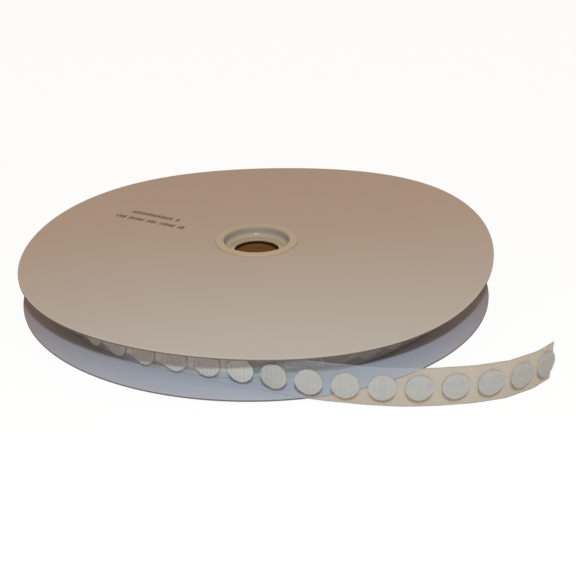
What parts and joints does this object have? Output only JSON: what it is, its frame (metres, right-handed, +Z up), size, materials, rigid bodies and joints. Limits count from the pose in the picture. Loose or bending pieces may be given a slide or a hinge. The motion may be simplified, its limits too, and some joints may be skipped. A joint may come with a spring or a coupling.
{
  "type": "hook and loop dot roll",
  "caption": "Flat board reel with plastic bushes that holds a wound strip of round peel-off hook dots on a clear release liner, its free end led out between the flanges.",
  "frame": {"origin": "middle of the whole part's footprint, on the surface that the reel lies on; the reel's own axis stands 5 mm to -X and 3.4 mm to +Y of it", "axes": "+Z up along the reel's axis; the strip's free end leaves at the front, -Y, and runs to the right, +X"},
  "size_m": [0.3394, 0.3398, 0.0403],
  "materials": {
    "flange_board": "matt, coated",
    "bush_plastic": "moulded, glossy",
    "kraft": "spiral-wound kraft paper",
    "liner_film": "thin clear release film, slightly warm",
    "hook_fabric": "woven nylon hooks"
  },
  "bodies": {
    "flanges": {"bottom_flange": "flange_board", "bottom_bush": "bush_plastic", "top_flange": "flange_board", "top_bush": "bush_plastic"},
    "core": {"core_tube": "kraft", "wound_pack": "hook_fabric", "outer_lap": "liner_film", "lap_dots": "hook_fabric"},
    "tail_near": {"tail_near": "liner_film"},
    "tail_middle": {"tail_middle": "liner_film"},
    "tail_end": {"tail_end": "liner_film"},
    "dot_01": {"tail_dot_01": "hook_fabric"},
    "dot_02": {"tail_dot_02": "hook_fabric"},
    "dot_03": {"tail_dot_03": "hook_fabric"},
    "dot_04": {"tail_dot_04": "hook_fabric"},
    "dot_05": {"tail_dot_05": "hook_fabric"},
    "dot_06": {"tail_dot_06": "hook_fabric"},
    "dot_07": {"tail_dot_07": "hook_fabric"},
    "dot_08": {"tail_dot_08": "hook_fabric"},
    "dot_09": {"tail_dot_09": "hook_fabric"},
    "dot_10": {"tail_dot_10": "hook_fabric"},
    "dot_11": {"tail_dot_11": "hook_fabric"}
  },
  "joints": [
    {"name": "core_turn", "type": "hinge", "parent": "flanges", "child": "core", "pos_m": [-0.00468, 0.00338, 0.0165], "axis": [0, 0, 1], "continuous": true},
    {"name": "tail_peel", "type": "hinge", "parent": "core", "child": "tail_near", "pos_m": [-0.04464, -0.1339, 0.0137], "axis": [0, 0, 1], "range_deg": [-60, 0]},
    {"name": "tail_bend", "type": "hinge", "parent": "tail_near", "child": "tail_middle", "pos_m": [0.05367, -0.16637, 0.0137], "axis": [0, 0, 1], "range_deg": [-20, 20]},
    {"name": "tail_end_bend", "type": "hinge", "parent": "tail_middle", "child": "tail_end", "pos_m": [0.13607, -0.16139, 0.0137], "axis": [0, 0, 1], "range_deg": [-20, 20]},
    {"name": "dot_01_peel", "type": "slide", "parent": "tail_near", "child": "dot_01", "axis": [-0.3486, -0.9373, 0], "range_m": [0, 0.015]},
    {"name": "dot_02_peel", "type": "slide", "parent": "tail_near", "child": "dot_02", "axis": [-0.3649, -0.9311, 0], "range_m": [0, 0.015]},
    {"name": "dot_03_peel", "type": "slide", "parent": "tail_near", "child": "dot_03", "axis": [-0.4131, -0.9107, 0], "range_m": [0, 0.015]},
    {"name": "dot_04_peel", "type": "slide", "parent": "tail_near", "child": "dot_04", "axis": [-0.2823, -0.9593, 0], "range_m": [0, 0.015]},
    {"name": "dot_05_peel", "type": "slide", "parent": "tail_near", "child": "dot_05", "axis": [-0.1633, -0.9866, 0], "range_m": [0, 0.015]},
    {"name": "dot_06_peel", "type": "slide", "parent": "tail_middle", "child": "dot_06", "axis": [-0.0767, -0.9971, 0], "range_m": [0, 0.015]},
    {"name": "dot_07_peel", "type": "slide", "parent": "tail_middle", "child": "dot_07", "axis": [0.0105, -0.9999, 0], "range_m": [0, 0.015]},
    {"name": "dot_08_peel", "type": "slide", "parent": "tail_middle", "child": "dot_08", "axis": [0.0802, -0.9968, 0], "range_m": [0, 0.015]},
    {"name": "dot_09_peel", "type": "slide", "parent": "tail_middle", "child": "dot_09", "axis": [0.2181, -0.9759, 0], "range_m": [0, 0.015]},
    {"name": "dot_10_peel", "type": "slide", "parent": "tail_end", "child": "dot_10", "axis": [0.4633, -0.8862, 0], "range_m": [0, 0.015]},
    {"name": "dot_11_peel", "type": "slide", "parent": "tail_end", "child": "dot_11", "axis": [0.6508, -0.7593, 0], "range_m": [0, 0.015]}
  ]
}
